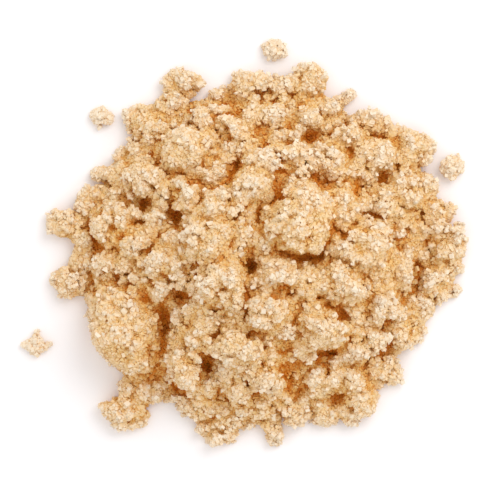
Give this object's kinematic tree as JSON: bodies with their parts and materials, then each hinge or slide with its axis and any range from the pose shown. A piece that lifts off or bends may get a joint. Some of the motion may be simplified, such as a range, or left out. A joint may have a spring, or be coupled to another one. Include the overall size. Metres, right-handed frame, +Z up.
{
  "type": "heap of brown sugar",
  "caption": "Loose heap of moist light brown sugar: clumps of stuck crystals on a low mound, with small crumbs lying beside it, flat underneath.",
  "frame": {"origin": "middle of the flat underside of the heap with its crumbs, on the surface that they lie on", "axes": "+Z up; +X to the right and +Y to the far side, as the heap is seen from straight above"},
  "size_m": [0.0844, 0.0778, 0.0217],
  "materials": {
    "sugar": "moist light brown crystals, matte with small glints",
    "crumb_sugar": "pale light brown crystals, matte with small glints"
  },
  "bodies": {
    "root": {"heap": "sugar", "crumb_far": "crumb_sugar", "crumb_left": "crumb_sugar", "crumb_left_small": "crumb_sugar", "crumb_far_left": "crumb_sugar", "crumb_right": "crumb_sugar"}
  },
  "joints": []
}
